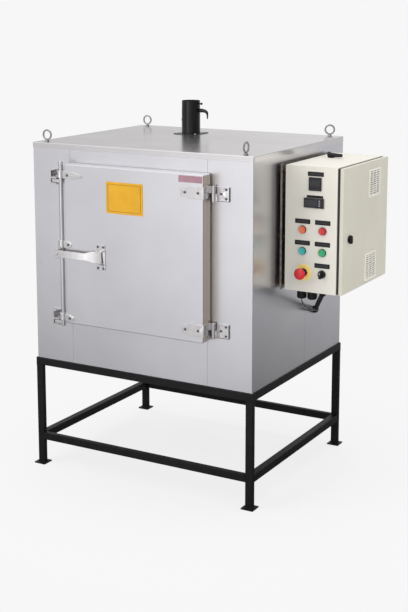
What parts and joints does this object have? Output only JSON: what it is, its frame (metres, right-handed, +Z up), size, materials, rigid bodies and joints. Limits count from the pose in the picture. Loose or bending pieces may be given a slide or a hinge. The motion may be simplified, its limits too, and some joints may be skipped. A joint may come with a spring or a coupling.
{
  "type": "chamber kiln with control enclosure",
  "caption": "Front-loading chamber kiln on a steel stand, with an insulated hinged door, a bar lock, a damper chimney and a side control enclosure.",
  "frame": {"origin": "centre of the whole object's box, on the floor that its four feet stand on", "axes": "+Z up, +X to the control enclosure's side, +Y from the door's side to the rear"},
  "size_m": [1.248, 0.889, 1.436],
  "materials": {
    "stand_black": "satin black paint",
    "casing_silver": "satin brushed stainless sheet, folded",
    "casing_side": "satin brushed stainless sheet",
    "door_silver": "satin brushed stainless sheet",
    "fibre": "pale ceramic fibre board",
    "liner_steel": "heat-toned sheet",
    "heater": "dark tubular heater sheath",
    "wire_steel": "bare wire",
    "rope": "woven fibre rope, pressed flat",
    "zinc": "bright zinc plate",
    "bar_chrome": "polished bar",
    "shield_zinc": "galvanised sheet",
    "spacer_brown": "dark spacer sleeves",
    "flue_black": "semi-gloss black paint",
    "eye_steel": "dark plated steel",
    "enclosure_beige": "fine-textured pebble grey powder coat",
    "enclosure_door_beige": "fine-textured pebble grey powder coat",
    "seal_black": "foam seal",
    "plastic_black": "black thermoplastic",
    "device_grey": "grey moulded cases",
    "meter_black": "dark meter case",
    "plate_yellow": "blank yellow plate",
    "label_grey": "blank engraved-label stock",
    "vent_beige": "moulded grille",
    "cap_orange": "lens cap",
    "cap_red": "lens cap",
    "cap_blue": "lens cap",
    "cap_green": "lens cap",
    "stop_red": "mushroom head",
    "key_grey": "meter key",
    "lead_grey": "grey sheathed lead"
  },
  "bodies": {
    "cabinet": {"stand_legs": "stand_black", "top_rails": "stand_black", "stretchers": "stand_black", "base_pan": "casing_silver", "side_panel_left": "casing_silver", "side_panel_right": "casing_side", "rear_panel": "casing_side", "front_panel": "casing_silver", "roof_cap": "casing_silver", "wall_insulation": "fibre", "chamber_liner": "liner_steel", "throat_frame": "liner_steel", "heating_elements": "heater", "rack_guides": "liner_steel", "wire_rack": "wire_steel", "thermocouple": "eye_steel", "probe_lead": "lead_grey", "chimney": "flue_black", "lifting_eyes": "eye_steel", "hinge_brackets": "zinc", "lock_keepers": "zinc", "heat_shield": "shield_zinc", "shield_spacers": "spacer_brown", "enclosure_box": "enclosure_beige", "enclosure_hinges": "zinc", "mounting_plate": "shield_zinc", "rail_devices": "device_grey", "cable_glands": "plastic_black", "conduit": "plastic_black", "temperature_controller": "meter_black", "indicator_unit": "meter_black", "label_plates": "label_grey", "control_bezels": "plastic_black"},
    "oven_door": {"door_front_pan": "door_silver", "door_rear_pan": "door_silver", "door_plug": "liner_steel", "door_insulation": "fibre", "door_gasket": "rope", "door_plates": "plate_yellow", "hinge_straps": "zinc", "bar_guides": "zinc", "lever_catch": "zinc"},
    "lock": {"lock_bar": "bar_chrome", "lock_lever": "zinc"},
    "control_door": {"enclosure_door": "enclosure_door_beige", "enclosure_gasket": "seal_black", "vent_grilles": "vent_beige"},
    "latch": {"door_latch": "plastic_black"},
    "flue_damper": {"damper": "flue_black"},
    "orange_button": {"button_orange": "cap_orange"},
    "red_button": {"button_red": "cap_red"},
    "blue_button": {"button_blue": "cap_blue"},
    "green_button": {"button_green": "cap_green"},
    "stop_stem": {"stop_plunger": "plastic_black"},
    "stop_mushroom": {"stop_head": "stop_red"},
    "selector": {"selector_knob": "plastic_black"},
    "upper_key": {"key_top": "key_grey"},
    "centre_key": {"key_middle": "key_grey"},
    "lower_key": {"key_bottom": "key_grey"}
  },
  "joints": [
    {"name": "oven_door_hinge", "type": "hinge", "parent": "cabinet", "child": "oven_door", "pos_m": [0.199, -0.3745, 0.924], "axis": [0, 0, 1], "range_deg": [0, 105]},
    {"name": "lock_bar_turn", "type": "hinge", "parent": "oven_door", "child": "lock", "pos_m": [-0.446, -0.4055, 0.889], "axis": [0, 0, -1], "range_deg": [0, 100]},
    {"name": "control_door_hinge", "type": "hinge", "parent": "cabinet", "child": "control_door", "pos_m": [0.59, 0.2655, 1.021], "axis": [0, 0, 1], "range_deg": [0, 120]},
    {"name": "latch_turn", "type": "hinge", "parent": "control_door", "child": "latch", "pos_m": [0.609, -0.1115, 0.989], "axis": [1, 0, 0], "range_deg": [0, 90]},
    {"name": "damper_turn", "type": "hinge", "parent": "cabinet", "child": "flue_damper", "pos_m": [-0.234, 0.2095, 1.396], "axis": [1, 0, 0], "range_deg": [0, 90]},
    {"name": "orange_button_press", "type": "slide", "parent": "cabinet", "child": "orange_button", "axis": [0, 1, 0], "range_m": [0, 0.004], "stiffness_N_per_m": 700},
    {"name": "red_button_press", "type": "slide", "parent": "cabinet", "child": "red_button", "axis": [0, 1, 0], "range_m": [0, 0.004], "stiffness_N_per_m": 700},
    {"name": "blue_button_press", "type": "slide", "parent": "cabinet", "child": "blue_button", "axis": [0, 1, 0], "range_m": [0, 0.004], "stiffness_N_per_m": 700},
    {"name": "green_button_press", "type": "slide", "parent": "cabinet", "child": "green_button", "axis": [0, 1, 0], "range_m": [0, 0.004], "stiffness_N_per_m": 700},
    {"name": "stop_press", "type": "slide", "parent": "cabinet", "child": "stop_stem", "axis": [0, 1, 0], "range_m": [0, 0.006], "stiffness_N_per_m": 1500},
    {"name": "stop_release_turn", "type": "hinge", "parent": "stop_stem", "child": "stop_mushroom", "pos_m": [0.457, -0.1995, 0.862], "axis": [0, 1, 0], "range_deg": [0, 45], "stiffness_Nm_per_rad": 0.05},
    {"name": "selector_turn", "type": "hinge", "parent": "cabinet", "child": "selector", "pos_m": [0.53, -0.1775, 0.862], "axis": [0, 1, 0], "range_deg": [-45, 45]},
    {"name": "upper_key_press", "type": "slide", "parent": "cabinet", "child": "upper_key", "axis": [0, 1, 0], "range_m": [0, 0.0008], "stiffness_N_per_m": 600},
    {"name": "centre_key_press", "type": "slide", "parent": "cabinet", "child": "centre_key", "axis": [0, 1, 0], "range_m": [0, 0.0008], "stiffness_N_per_m": 600},
    {"name": "lower_key_press", "type": "slide", "parent": "cabinet", "child": "lower_key", "axis": [0, 1, 0], "range_m": [0, 0.0008], "stiffness_N_per_m": 600}
  ]
}
